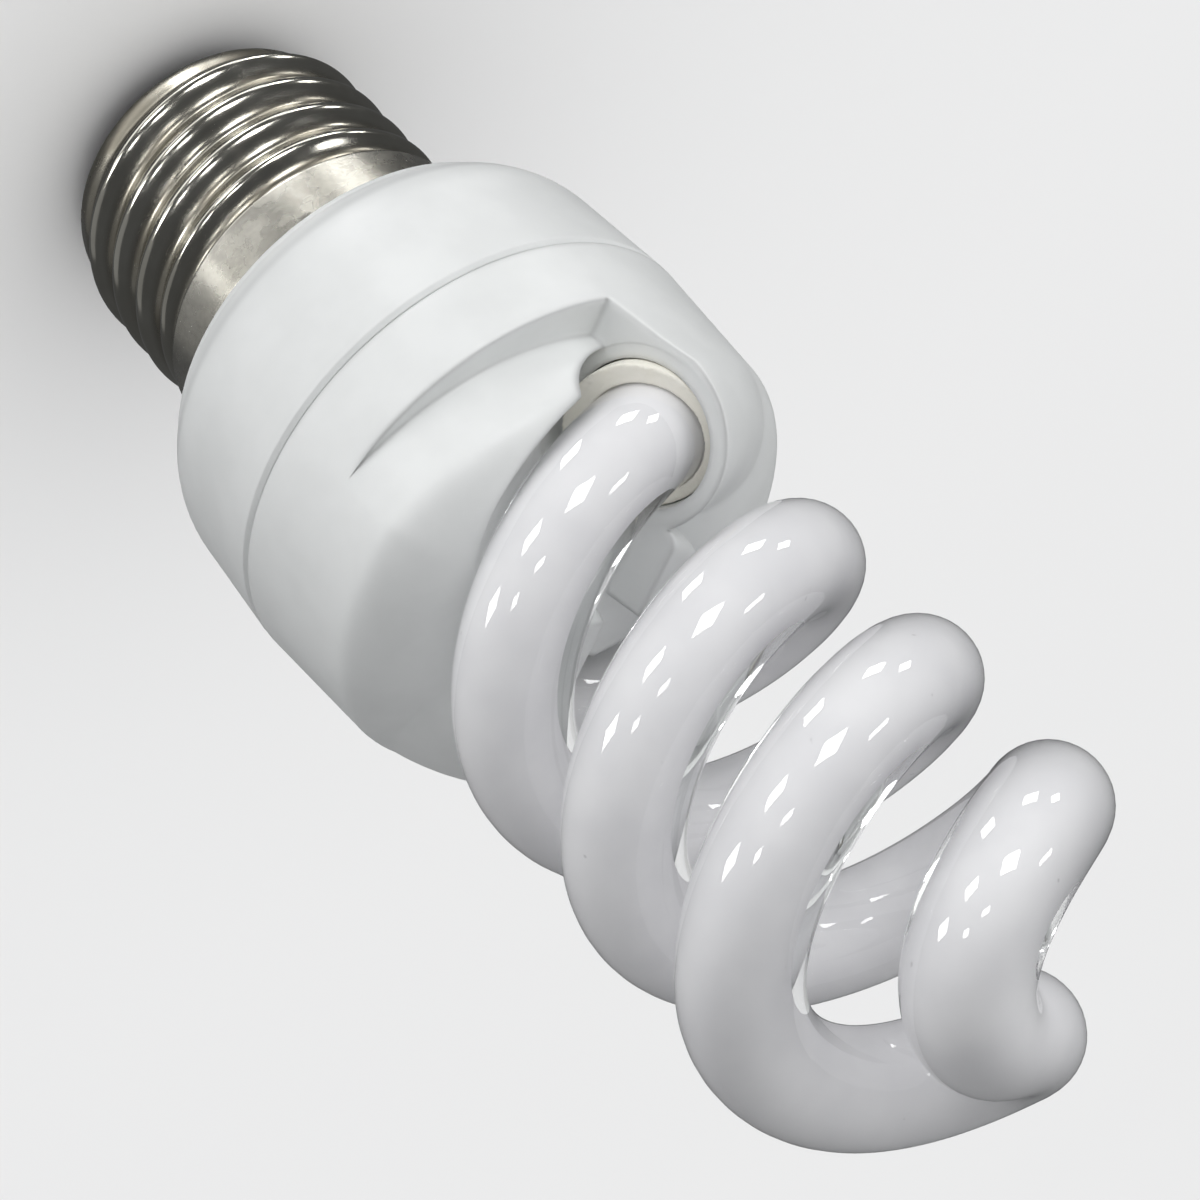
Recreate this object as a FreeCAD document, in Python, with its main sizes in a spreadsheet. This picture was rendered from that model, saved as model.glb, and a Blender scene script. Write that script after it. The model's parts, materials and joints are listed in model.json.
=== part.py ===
import FreeCAD, Part
import math
import os
import Sketcher

# Spiral energy saving lamp with a 27 mm screw cap, in mm.
# The frame stands on the centre contact's face, with Z along the lamp towards the glass tip.

V = FreeCAD.Vector
doc = FreeCAD.newDocument("spiral_lamp")
sheet = doc.addObject("Spreadsheet::Sheet", "Sizes")
UP = V(0, 0, 1)
FAR = 60.0  # farther than any point of the cover from the axis

# Driving sizes, each with the name that the shapes below read
SIZES = {
    "fit_gap": "0.05",
    # Screw cap
    "rim_level": "26.7",
    "shell_wall": "0.4",
    "shell_root_radius": "12.15",
    "shell_end_inset": "0.65",
    "shell_end_level": "2.7",
    "shell_end_height": "1.7",
    "shell_end_bulge": "0.3",
    "skirt_radius": "13.15",
    "skirt_level": "19.6",
    "skirt_flare": "0.9",
    "thread_pitch": "3.629",
    "thread_depth": "0.95",
    "thread_crest_round": "0.85",
    "thread_crest_half_angle": "50",
    "thread_foot_half": "1.6",
    "thread_start_level": "4.4",
    "thread_turns": "3.9",
    "thread_run_out": "0.35",
    "thread_sink": "1.14",
    "thread_steps": "12",
    "thread_phase": "270",
    "thread_front_crest": "17.2",
    "contact_radius": "4.8",
    "contact_face_radius": "4.0",
    "contact_edge": "0.6",
    "contact_thick": "1.2",
    "contact_stem_radius": "1.1",
    "contact_stem_top": "4.4",
    "insulator_neck_radius": "6.2",
    "insulator_neck_level": "1.7",
    "insulator_top": "4.9",
    "insulator_edge": "0.3",
    # Lower housing
    "neck_bottom": "20.9",
    "neck_wall": "1.4",
    "rim_round": "1.0",
    "rim_round_width": "0.95",
    "rim_round_height": "0.85",
    "rim_inset": "1.75",
    "belly_inset": "0.38",
    "belly_level": "32.3",
    "belly_round": "7.3",
    "seam_level": "40.45",
    "seam_chamfer": "0.3",
    "housing_wall": "1.6",
    "lip_height": "2.6",
    "lip_wall": "1.1",
    "board_ledge": "1.2",
    "board_ledge_drop": "1.2",
    "board_ledge_slope": "2.4",
    "wall_draft": "0.2",
    # Upper cover
    "cover_margin": "1.55",
    "cover_taper": "0.78",
    "cover_side_level": "50.8",
    "cover_top_level": "55",
    "cover_shoulder": "10.4",
    "cover_wall": "1.5",
    "boss_radius": "7",
    "boss_top": "57.8",
    "boss_round": "1",
    "hood_wall": "1.75",
    "hood_drop": "1",
    "hood_start": "-106",
    "hood_overrun": "12",
    "scoop_ledge_level": "46.5",
    "scoop_shift": "3.3",
    "scoop_shift_angle": "196",
    "exit_angle": "-53",
    "exit_hole_radius": "5.25",
    "exit_hole_drop": "0.4",
    "exit_hole_overrun": "3",
    "pocket_grow": "1.05",
    "pocket_ahead": "0.8",
    "trough_gap": "0.37",
    "trough_end": "75",
    "socket_length": "14",
    # Glass tube
    "tube_radius": "3.98",
    "spiral_radius": "11.6",
    "spiral_lead": "23.6",
    "first_band_level": "58.3",
    "spiral_end": "443",
    "bridge_end": "566",
    "bridge_power": "3.29",
    "bridge_rise": "10.2",
    "bridge_flat": "0.8",
    "dive_start": "120",
    "dive_rate": "0.00007",
    "tube_start": "-94",
    "tube_step": "40",
    "bridge_step": "12.3",
    "cement_turn": "15",
    "cement_recess": "1",
    # Circuit board and what it carries
    "board_gap": "0.2",
    "board_thick": "1.6",
    "board_sink": "0.4",
    "lead_radius": "0.3",
    "can_length": "14.5",
    "can_groove_level": "1.6",
    "can_groove_half": "0.6",
    "can_groove_depth": "0.35",
    "can_edge": "0.5",
    "choke_height": "10.5",
    "choke_yoke": "1.6",
    "winding_gap": "0.1",
    "ring_thick": "3",
    "coil_grow": "0.45",
    "coil_angle": "54",
    "coil_count": "3",
    "transistor_height": "5",
    "transistor_lift": "2",
    "leg_pitch": "1.27",
    "leg_size": "0.5",
    "transistor_angle": "-10",
    "transistor_step": "-32",
    "film_height": "7",
    "film_edge": "0.6",
    "film_angle": "190",
    "film_step": "44",
    "diode_length": "4.6",
    "diode_lift": "1.4",
    "diode_tail": "1.2",
    "diode_angle": "258",
    "diode_step": "13",
    "fuse_band": "1.3",
    "fuse_length": "6.4",
    "fuse_lift": "1.4",
    "fuse_angle": "105",
    "pin_radius": "0.5",
    "pin_height": "3",
    "pin_lag": "17",
    "pin_spread": "1.5",
    "lead_stop": "0.65",
    "wire_radius": "0.55",
    "wire_drop": "6",
    "live_rim_x": "4.2",
    "live_rim_y": "-0.6",
    "live_cap_x": "1.2",
    "live_cap_y": "-0.2",
    "live_cap_level": "12",
    "live_foot": "2.5",
    "neutral_rim_x": "-8.2",
    "neutral_rim_y": "-1.6",
    "neutral_neck_x": "-9.6",
    "neutral_neck_y": "-1",
    "neutral_neck_drop": "0.5",
    "neutral_foot": "4.5",
    # Derived sizes: the cover is as wide as the tube's exits need, and the housing follows it
    "cover_side_radius": "=spiral_radius + exit_hole_radius + cover_margin",
    "cover_top_radius": "=cover_side_radius - cover_shoulder",
    "seam_radius": "=cover_side_radius + cover_taper",
    "belly_radius": "=seam_radius - belly_inset",
    "rim_round_radius": "=belly_radius - rim_inset",
    "rim_flat_radius": "=rim_round_radius - rim_round_width",
    "shell_end_radius": "=shell_root_radius - shell_end_inset",
    "shell_bottom_inside": "=shell_end_radius - shell_wall",
    "shell_inside": "=shell_root_radius - shell_wall",
    "skirt_inside": "=skirt_radius - shell_wall",
    "shell_end_top": "=shell_end_level + shell_end_height",
    "skirt_start": "=skirt_level - skirt_flare",
    "shell_top": "=rim_level - fit_gap",
    "insulator_radius": "=shell_bottom_inside - fit_gap",
    "insulator_face": "=contact_thick + fit_gap",
    "insulator_bore": "=contact_stem_radius + fit_gap",
    "insulator_edge_level": "=shell_end_level + insulator_edge",
    "neck_radius": "=skirt_inside - fit_gap",
    "neck_inside": "=neck_radius - neck_wall",
    "rim_round_level": "=rim_level + rim_round_height",
    "seam_edge_level": "=seam_level - seam_chamfer",
    "seam_face_radius": "=seam_radius - seam_chamfer",
    "lip_radius": "=seam_radius - housing_wall - fit_gap",
    "lip_inside": "=lip_radius - lip_wall",
    "lip_top": "=seam_level + lip_height",
    "board_level": "=lip_top - board_thick - board_sink",
    "ledge_radius": "=lip_inside - board_ledge",
    "ledge_bottom": "=board_level - board_ledge_drop",
    "ledge_foot": "=ledge_bottom - board_ledge_slope",
    "wall_inside": "=belly_radius - housing_wall + wall_draft",
    "belly_inside": "=belly_radius - housing_wall",
    "floor_level": "=rim_level + housing_wall",
    "floor_round_radius": "=rim_round_radius - housing_wall",
    "floor_round_level": "=rim_round_level + housing_wall",
    "cover_bottom": "=seam_level + fit_gap",
    "cover_edge_level": "=cover_bottom + seam_chamfer",
    "cover_inside": "=seam_radius - housing_wall",
    "board_top": "=board_level + board_thick",
    "board_radius": "=lip_inside - board_gap",
    # The parts keep their share of the board
    "board_scale": "=board_radius / 16.23",
    "can_radius": "=4 * board_scale",
    "can_x": "=-1.2 * board_scale",
    "can_y": "=-4.6 * board_scale",
    "choke_width": "=13 * board_scale",
    "choke_depth": "=6 * board_scale",
    "choke_limb": "=2.4 * board_scale",
    "choke_leg": "=3.4 * board_scale",
    "choke_x": "=4.6 * board_scale",
    "choke_y": "=6.6 * board_scale",
    "winding_grow": "=2.1 * board_scale",
    "ring_outer": "=4.2 * board_scale",
    "ring_inner": "=2.4 * board_scale",
    "ring_x": "=-7.6 * board_scale",
    "ring_y": "=5.6 * board_scale",
    "transistor_radius": "=2.4 * board_scale",
    "transistor_flat": "=1.3 * board_scale",
    "transistor_reach": "=10.6 * board_scale",
    "film_length": "=7.2 * board_scale",
    "film_width": "=3.2 * board_scale",
    "film_reach": "=11.2 * board_scale",
    "diode_radius": "=1.3 * board_scale",
    "diode_reach": "=12.2 * board_scale",
    "fuse_radius": "=1.6 * board_scale",
    "fuse_waist": "=1.3 * board_scale",
    "fuse_reach": "=12.4 * board_scale",
    "neutral_y": "=-2 * board_scale",
    "neutral_x": "=-7.2 * board_scale",
    "live_y": "=-1.6 * board_scale",
    "live_x": "=5 * board_scale",
    "can_low": "=can_groove_level - can_groove_half",
    "can_high": "=can_groove_level + can_groove_half",
    "can_waist": "=can_radius - can_groove_depth",
    "can_shoulder": "=can_length - can_edge",
    "can_end": "=can_radius - can_edge",
    "diode_bottom": "=diode_lift + diode_length",
    "diode_end": "=diode_bottom + diode_tail",
    "fuse_band_end": "=fuse_lift + fuse_band",
    "fuse_band_start": "=fuse_lift + fuse_length - fuse_band",
    "fuse_bottom": "=fuse_lift + fuse_length",
    "fuse_end": "=fuse_bottom + fuse_lift",
}

for row, (name, value) in enumerate(SIZES.items(), start=1):
    cell = "B%d" % row
    sheet.set("A%d" % row, name)
    sheet.set(cell, value)
    sheet.setAlias(cell, name)
doc.recompute()


def size(name):
    return float(getattr(sheet, name))


def bind(obj, prop, formula):
    obj.setExpression(prop, formula)


def origin_plane(body, role):
    for item in body.Origin.OriginFeatures:
        if item.Role == role:
            return item
    raise ValueError(role)


def new_body(label):
    body = doc.addObject("PartDesign::Body", label)
    body.Label = label
    return body


def new_sketch(body, role):
    sketch = body.newObject("Sketcher::SketchObject", body.Label + "_sketch")
    sketch.AttachmentSupport = [(origin_plane(body, role), "")]
    sketch.MapMode = "FlatFace"
    return sketch


def pin_point(sketch, geo, pos, across, along):
    """Ties a sketch point to the sheet, or to an axis where the name is None."""
    for kind, name, axis in (("DistanceX", across, -2), ("DistanceY", along, -1)):
        if name is None:
            sketch.addConstraint(Sketcher.Constraint("PointOnObject", geo, pos, axis))
            continue
        sign = -1 if name.startswith("-") else 1
        key = name.lstrip("-")
        number = sketch.addConstraint(
            Sketcher.Constraint(kind, -1, 1, geo, pos, sign * size(key))
        )
        formula = ("-" if sign < 0 else "") + "Sizes." + key
        sketch.setExpression("Constraints[%d]" % number, formula)


def value_of(name):
    if name is None:
        return 0.0
    return -size(name[1:]) if name.startswith("-") else size(name)


def arc_between(start, end, radius, left):
    """The short arc from start to end with its centre on the left or right of the way."""
    middle = (start + end) * 0.5
    way = end - start
    reach = math.sqrt(max(radius**2 - (way.Length / 2) ** 2, 0.0))
    side = V(-way.y, way.x, 0).normalize() * (reach if left else -reach)
    centre = middle + side
    first, last = (start, end) if left else (end, start)
    angle_a = math.atan2(first.y - centre.y, first.x - centre.x)
    angle_b = math.atan2(last.y - centre.y, last.x - centre.x)
    if angle_b < angle_a:
        angle_b += 2 * math.pi
    return Part.ArcOfCircle(Part.Circle(centre, UP, radius), angle_a, angle_b)


def draw_outline(sketch, outline):
    """Closed outline of (across, along) names; a third item turns the stretch that follows into an arc."""
    points = [V(value_of(step[0]), value_of(step[1]), 0) for step in outline]
    ends = []
    for i, step in enumerate(outline):
        start = points[i]
        end = points[(i + 1) % len(points)]
        if len(step) == 2:
            geo = sketch.addGeometry(Part.LineSegment(start, end), False)
            ends.append((geo, 1, 2))
        else:
            radius, left = step[2]
            geo = sketch.addGeometry(arc_between(start, end, size(radius), left), False)
            ends.append((geo, 1, 2) if left else (geo, 2, 1))
            number = sketch.addConstraint(Sketcher.Constraint("Radius", geo, size(radius)))
            sketch.setExpression("Constraints[%d]" % number, "Sizes." + radius)
    for i, (geo, first, last) in enumerate(ends):
        after = ends[(i + 1) % len(ends)]
        sketch.addConstraint(Sketcher.Constraint("Coincident", geo, last, after[0], after[1]))
        pin_point(sketch, geo, first, outline[i][0], outline[i][1])


def revolved(label, outline):
    body = new_body(label)
    sketch = new_sketch(body, "XZ_Plane")
    draw_outline(sketch, outline)
    turn = body.newObject("PartDesign::Revolution", label + "_turn")
    turn.Profile = sketch
    turn.ReferenceAxis = (sketch, ["V_Axis"])
    turn.Angle = 360
    sketch.Visibility = False
    return body


def solid_node(label, shape):
    node = doc.addObject("Part::Feature", label)
    node.Label = label
    node.Shape = shape.Solids[0]
    return node


def turned_solid(points):
    """Solid of revolution about Z from (radius, level) points; a third value is an arc's middle."""
    edges = []
    for a, b in zip(points, points[1:] + points[:1]):
        start = V(a[0], 0, a[1])
        end = V(b[0], 0, b[1])
        if len(a) == 3:
            edges.append(Part.Arc(start, V(a[2][0], 0, a[2][1]), end).toShape())
        else:
            edges.append(Part.makeLine(start, end))
    return Part.Face(Part.Wire(edges)).revolve(V(0, 0, 0), UP, 360)


def swept(spine_points, section, binormal=None):
    curve = Part.BSplineCurve()
    curve.interpolate(spine_points)
    pipe = Part.BRepOffsetAPI.MakePipeShell(Part.Wire([curve.toShape()]))
    if binormal is None:
        pipe.setFrenetMode(False)
    else:
        pipe.setBiNormalMode(binormal)
    pipe.add(section, False, False)
    pipe.build()
    pipe.makeSolid()
    return pipe.shape()


def arc_of_tube(start, way, end, radius):
    """Skin of a round bar that leaves start along way and bends in one arc to end."""
    chord = end - start
    side = chord - way * chord.dot(way)
    if side.Length < 1e-6:
        return Part.makeCircle(radius, start, way).extrude(chord)
    bend = chord.Length**2 / (2 * side.Length)
    side.normalize()
    turn = 2 * math.asin(chord.Length / (2 * bend))
    ring = Part.makeCircle(radius, start, way)
    return ring.revolve(start + side * bend, way.cross(side), math.degrees(turn))


def bent_bar(points, ways, radius):
    """Round bar through the points with the given directions, bent in two arcs between each pair."""
    skin = []
    for start, end, way_in, way_out in zip(points, points[1:], ways, ways[1:]):
        chord = end - start
        both = way_in + way_out
        spread = 2 * (1 - way_in.dot(way_out))
        along = chord.dot(both)
        reach = (math.sqrt(along**2 + spread * chord.dot(chord)) - along) / spread
        first = start + way_in * reach
        last = end - way_out * reach
        middle = (first + last) * 0.5
        skin.append(arc_of_tube(start, way_in, middle, radius))
        skin.append(arc_of_tube(middle, (last - first).normalize(), end, radius))
    for point, way in ((points[0], ways[0]), (points[-1], ways[-1])):
        skin.append(Part.Face(Part.Wire([Part.makeCircle(radius, point, way)])))
    shell = Part.Shell(skin)
    shell.sewShape()
    bar = Part.Solid(shell)
    if bar.Volume < 0:
        bar.reverse()
    return bar


def wire_bar(points, radius):
    """Round wire along a smooth curve through the points."""
    curve = Part.BSplineCurve()
    curve.interpolate(points)
    way = curve.tangent(curve.FirstParameter)[0]
    return swept(points, Part.Wire([Part.makeCircle(radius, points[0], way)]))


def cut_away(shape, tools):
    """The shape less each tool in turn."""
    for tool in tools:
        shape = shape.cut(tool)
    return shape


def half_turned(shape):
    copy = shape.copy()
    copy.rotate(V(0, 0, 0), UP, 180)
    return copy


# Screw cap: rolled shell with its round thread, glass insulator and centre contact
def thread_ridge():
    """One ridge wound on the shell, sinking into it at both ends."""
    pitch = size("thread_pitch")
    root = size("shell_root_radius")
    depth = size("thread_depth")
    turns = size("thread_turns")
    run_out = size("thread_run_out")
    start = size("thread_start_level")
    phase = size("thread_phase") + 360 * (start - size("thread_front_crest")) / pitch
    steps = int(turns * size("thread_steps"))
    spine = []
    for i in range(steps + 1):
        turn = turns * i / steps
        near_end = min(turn, turns - turn) / run_out
        sink = size("thread_sink") * (1 - min(near_end, 1.0)) ** 2
        angle = math.radians(phase + 360 * turn)
        radius = root - sink
        spine.append(V(radius * math.cos(angle), radius * math.sin(angle), start + pitch * turn))
    foot = size("thread_foot_half")
    crest = size("thread_crest_round")
    bury = size("shell_wall") / 2
    out = V(math.cos(math.radians(phase)), math.sin(math.radians(phase)), 0)
    base = spine[0]

    def at(height, level):
        return base + out * height + UP * level

    half = math.radians(size("thread_crest_half_angle"))
    shoulder = depth - crest * (1 - math.cos(half))
    side = crest * math.sin(half)
    crest_arc = Part.Arc(at(shoulder, -side), at(depth, 0), at(shoulder, side)).toShape()
    corners = [at(shoulder, side), at(-bury, foot), at(-bury, -foot), at(shoulder, -side)]
    flanks = [Part.makeLine(a, b) for a, b in zip(corners, corners[1:])]
    return swept(spine, Part.Wire([crest_arc] + flanks), UP)


def cap_shell():
    end_level = size("shell_end_level")
    end_top = size("shell_end_top")
    end_radius = size("shell_end_radius")
    root = size("shell_root_radius")
    wall = size("shell_wall")
    skirt = size("skirt_radius")
    flare = size("skirt_start")
    level = size("skirt_level")
    top = size("shell_top")
    bulge = size("shell_end_bulge")
    middle = ((end_radius + root) / 2 + bulge, (end_level + end_top) / 2 - bulge)
    outside = [
        (0, end_level),
        (end_radius, end_level, middle),
        (root, end_top),
        (root, flare),
        (skirt, level),
        (skirt, top),
        (0, top),
    ]
    inside = [
        (0, end_level - wall),
        (size("shell_bottom_inside"), end_level - wall),
        (size("shell_bottom_inside"), end_top),
        (root - wall, end_top + wall),
        (root - wall, flare),
        (skirt - wall, level),
        (skirt - wall, top + wall),
        (0, top + wall),
    ]
    body = turned_solid(outside).fuse(thread_ridge())
    return body.cut(turned_solid(inside)).removeSplitter()


solid_node("cap_shell", cap_shell())

centre_contact = revolved(
    "centre_contact",
    [
        (None, None),
        ("contact_face_radius", None),
        ("contact_radius", "contact_edge"),
        ("contact_radius", "contact_thick"),
        ("contact_stem_radius", "contact_thick"),
        ("contact_stem_radius", "contact_stem_top"),
        (None, "contact_stem_top"),
    ],
)

cap_insulator = revolved(
    "cap_insulator",
    [
        ("insulator_bore", "insulator_face"),
        ("contact_radius", "insulator_face"),
        ("insulator_neck_radius", "insulator_neck_level"),
        ("insulator_radius", "insulator_edge_level"),
        ("insulator_radius", "shell_end_top"),
        ("insulator_neck_radius", "insulator_top"),
        ("insulator_bore", "insulator_top"),
    ],
)

# Lower housing: neck held in the cap, rounded rim, belly, seam and the lip that carries the board
lower_housing = revolved(
    "lower_housing",
    [
        ("neck_radius", "neck_bottom"),
        ("neck_radius", "rim_level"),
        ("rim_flat_radius", "rim_level", ("rim_round", True)),
        ("rim_round_radius", "rim_round_level", ("belly_round", True)),
        ("belly_radius", "belly_level"),
        ("seam_radius", "seam_edge_level"),
        ("seam_face_radius", "seam_level"),
        ("lip_radius", "seam_level"),
        ("lip_radius", "lip_top"),
        ("lip_inside", "lip_top"),
        ("lip_inside", "board_level"),
        ("ledge_radius", "board_level"),
        ("ledge_radius", "ledge_bottom"),
        ("wall_inside", "ledge_foot"),
        ("belly_inside", "belly_level"),
        ("floor_round_radius", "floor_round_level"),
        ("neck_inside", "floor_level"),
        ("neck_inside", "neck_bottom"),
    ],
)


# Glass tube: two strands wound half a turn apart, joined by an S through the axis at the tip
def strand_point(turn, drop=0.0):
    """Centre of the first strand at a turn in degrees from its first front crossing."""
    end = size("spiral_end")
    last = size("bridge_end")
    share = min(max((turn - end) / (last - end), 0.0), 1.0)
    radius = size("spiral_radius") * (1 - share ** size("bridge_power"))
    rise = size("spiral_lead") / 360
    level = size("first_band_level") + rise * min(turn, end) - drop
    flat = size("bridge_flat")
    ease = max(share - flat, 0.0) ** 2 / (2 * (1 - flat))
    level += size("bridge_rise") * (share - ease)
    level -= size("dive_rate") * max(size("dive_start") - turn, 0.0) ** 2
    angle = math.radians(270 + turn)
    return V(radius * math.cos(angle), radius * math.sin(angle), level)


def tube_point(turn, drop=0.0):
    """Centre of the whole tube: past the axis it runs back down the second strand."""
    last = size("bridge_end")
    if turn <= last:
        return strand_point(turn, drop)
    twin = strand_point(2 * last - turn, drop)
    return V(-twin.x, -twin.y, twin.z)


def tube_bar(turns, radius, drop=0.0):
    nudge = 0.01
    points = [tube_point(turn, drop) for turn in turns]
    ways = []
    for turn in turns:
        way = tube_point(turn + nudge, drop) - tube_point(turn - nudge, drop)
        ways.append(way.normalize())
    return bent_bar(points, ways, radius)


def steps_between(first, last, step):
    count = max(int(math.ceil((last - first) / step)), 1)
    return [first + (last - first) * i / count for i in range(count + 1)]


def spiral_tube():
    wound = steps_between(size("tube_start"), size("spiral_end"), size("tube_step"))
    bridge = steps_between(size("spiral_end"), size("bridge_end"), size("bridge_step"))
    rising = wound + bridge[1:]
    falling = [2 * size("bridge_end") - turn for turn in rising[-2::-1]]
    return tube_bar(rising + falling, size("tube_radius"))


def exit_bar(first, last, radius):
    """Bar along the way that the tube takes through its exit hole."""
    turns = steps_between(first, last, size("tube_step"))
    return tube_bar(turns, radius, size("exit_hole_drop"))


def exit_frame():
    """Centre of the exit and the tube's helix direction there."""
    turn = size("exit_angle")
    angle = math.radians(270 + turn)
    rise = size("spiral_lead") / (2 * math.pi * size("spiral_radius"))
    way = V(-math.sin(angle), math.cos(angle), rise).normalize()
    return strand_point(turn), way


# Upper cover: dome with two scoops, each ending in a wall that a strand leaves through
def dome(shrink):
    """The cover's dome above its foot, made smaller by a wall's thickness."""
    side = size("cover_side_radius") - shrink
    side_level = size("cover_side_level")
    top = size("cover_top_level") - shrink
    flat = size("cover_top_radius")
    foot = size("seam_radius") - shrink
    foot_level = size("cover_edge_level")
    centre = V(flat, 0, side_level)
    axis_ends = [V(flat, 0, top), V(side, 0, side_level)]
    axis_ends.sort(key=lambda end: (end - centre).Length, reverse=True)
    shoulder = Part.Ellipse(axis_ends[0], axis_ends[1], centre).toShape(0, math.pi / 2)
    corners = [
        V(flat, 0, top),
        V(0, 0, top),
        V(0, 0, foot_level),
        V(foot, 0, foot_level),
        V(side, 0, side_level),
    ]
    lines = [Part.makeLine(start, end) for start, end in zip(corners, corners[1:])]
    outline = Part.Wire(Part.__sortEdges__([shoulder] + lines))
    return Part.Face(outline).revolve(V(0, 0, 0), UP, 360)


def beyond(point, way):
    """Block that fills the space past a plane through the point, square to the way."""
    block = Part.makeBox(2 * FAR, 2 * FAR, FAR, V(-FAR, -FAR, 0))
    block.Placement = FreeCAD.Placement(point, FreeCAD.Rotation(UP, way))
    return block


def scoop(grow):
    """What a scoop takes from the dome: past the exit wall, above the ledge, outside the shifted core."""
    centre, way = exit_frame()
    block = beyond(centre - way * grow, way)
    above = beyond(UP * (size("scoop_ledge_level") - grow), UP)
    quarter_turn = math.radians(270 + size("exit_angle"))
    outward = V(math.cos(quarter_turn), math.sin(quarter_turn), 0)
    side = beyond(V(0, 0, 0), outward)
    core = dome(grow)
    angle = math.radians(size("scoop_shift_angle"))
    core.translate(V(math.cos(angle), math.sin(angle), 0) * -size("scoop_shift"))
    return block.common(above).common(side).cut(core)


def tube_way_tools():
    """What the tube needs of the cover: its hole, the pocket before the hole and a close trough."""
    exit_turn = size("exit_angle")
    hole_radius = size("exit_hole_radius")
    trough_radius = size("tube_radius") + size("trough_gap")
    centre, way = exit_frame()
    mouth = centre - UP * size("exit_hole_drop")
    hole = exit_bar(size("tube_start"), exit_turn + size("exit_hole_overrun"), hole_radius)
    ball = Part.makeSphere(hole_radius + size("pocket_grow"), mouth + way * size("pocket_ahead"))
    pocket = ball.common(beyond(centre - way * size("fit_gap"), way))
    pocket = pocket.common(beyond(UP * size("scoop_ledge_level"), UP))
    turns = steps_between(exit_turn, size("trough_end"), size("tube_step"))
    return [pocket, tube_bar(turns, trough_radius), hole]


def upper_cover():
    hole = size("exit_hole_radius")
    wall = size("cover_wall")
    exit_turn = size("exit_angle")
    outer = dome(0.0)
    chamfer = size("seam_chamfer")
    foot = Part.makeCone(
        size("seam_face_radius"), size("seam_radius"), chamfer, V(0, 0, size("cover_bottom"))
    )
    boss_foot = V(0, 0, size("cover_side_level"))
    boss = Part.makeCylinder(size("boss_radius"), size("boss_top") - boss_foot.z, boss_foot)
    upper_edges = [edge for edge in boss.Edges if edge.BoundBox.ZMin > boss_foot.z]
    boss = boss.makeFillet(size("boss_round"), upper_edges)
    hood_turns = steps_between(size("hood_start"), exit_turn + size("hood_overrun"), size("tube_step"))
    hood = tube_bar(hood_turns, hole + size("hood_wall"), size("hood_drop"))
    hood = hood.common(Part.makeCylinder(size("cover_side_radius"), FAR, V(0, 0, size("seam_level"))))
    centre, way = exit_frame()
    hood = hood.cut(beyond(centre, way))
    for piece in (foot, boss, hood, half_turned(hood)):
        outer = outer.fuse(piece)
    cut = scoop(0.0)
    outer = cut_away(outer, [cut, half_turned(cut)])

    fat_cut = scoop(wall)
    fat_trough = exit_bar(exit_turn - size("socket_length"), size("trough_end"), hole + wall)
    mouth_height = size("lip_height") + 2 * wall
    mouth = Part.makeCylinder(size("cover_inside"), mouth_height, V(0, 0, size("seam_level") - wall))
    hollow = dome(wall).fuse(mouth)
    hollow = cut_away(hollow, [fat_cut, half_turned(fat_cut), fat_trough, half_turned(fat_trough)])
    cover = outer.cut(hollow)
    for way_out in tube_way_tools():
        cover = cut_away(cover, [way_out, half_turned(way_out)])
    return cover.removeSplitter()


def cement_collar():
    """Cement between the tube and its exit hole, set back a little from the wall's face."""
    turn = size("exit_angle")
    gap = size("fit_gap")
    first = turn - size("cement_turn")
    last = turn - size("cement_recess")
    plug = exit_bar(first, last, size("exit_hole_radius") - gap)
    margin = size("cement_turn")
    glass = tube_bar(steps_between(first - margin, last + margin, margin), size("tube_radius") + gap)
    return plug.cut(glass)


solid_node("spiral_tube", spiral_tube())
solid_node("upper_cover", upper_cover())
front_cement = cement_collar()
solid_node("front_cement", front_cement)
solid_node("rear_cement", half_turned(front_cement))


# Circuit board on its ledge, with the parts that hang below it
def place(obj, across, along, level, turn=None, flipped=False):
    """Puts a piece at sheet formulas, turned about Z and hung upside down where it is flipped."""
    angle = 0.0 if turn is None else turn
    rotation = FreeCAD.Rotation(UP, angle)
    if flipped:
        rotation = rotation.multiply(FreeCAD.Rotation(V(1, 0, 0), 180))
    obj.Placement = FreeCAD.Placement(V(0, 0, 0), rotation)
    bind(obj, "Placement.Base.x", across)
    bind(obj, "Placement.Base.y", along)
    bind(obj, "Placement.Base.z", level)


def polar(reach, angle):
    """Formulas for a place on the board, from its centre."""
    return (
        "Sizes.%s * cos((%s) * 1 deg)" % (reach, angle),
        "Sizes.%s * sin((%s) * 1 deg)" % (reach, angle),
    )


def box(label, lengths, corner):
    piece = doc.addObject("Part::Box", label)
    for prop, formula in zip(("Length", "Width", "Height"), lengths):
        bind(piece, prop, formula)
    place(piece, *corner)
    return piece


def cylinder(label, radius, height, corner):
    piece = doc.addObject("Part::Cylinder", label)
    bind(piece, "Radius", radius)
    bind(piece, "Height", height)
    place(piece, *corner)
    return piece


def cut(label, base, tool):
    piece = doc.addObject("Part::Cut", label)
    piece.Label = label
    piece.Base = base
    piece.Tool = tool
    return piece


def joined(label, pieces):
    piece = doc.addObject("Part::MultiFuse", label)
    piece.Label = label
    piece.Shapes = pieces
    return piece


circuit_board = cylinder(
    "circuit_board", "Sizes.board_radius", "Sizes.board_thick", ("0", "0", "Sizes.board_level")
)

smoothing_capacitor = revolved(
    "smoothing_capacitor",
    [
        (None, None),
        ("can_end", None),
        ("can_radius", "can_edge"),
        ("can_radius", "can_low"),
        ("can_waist", "can_groove_level"),
        ("can_radius", "can_high"),
        ("can_radius", "can_shoulder"),
        ("can_end", "can_length"),
        (None, "can_length"),
    ],
)
place(smoothing_capacitor, "Sizes.can_x", "Sizes.can_y", "Sizes.board_level - Sizes.fit_gap", flipped=True)


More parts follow.
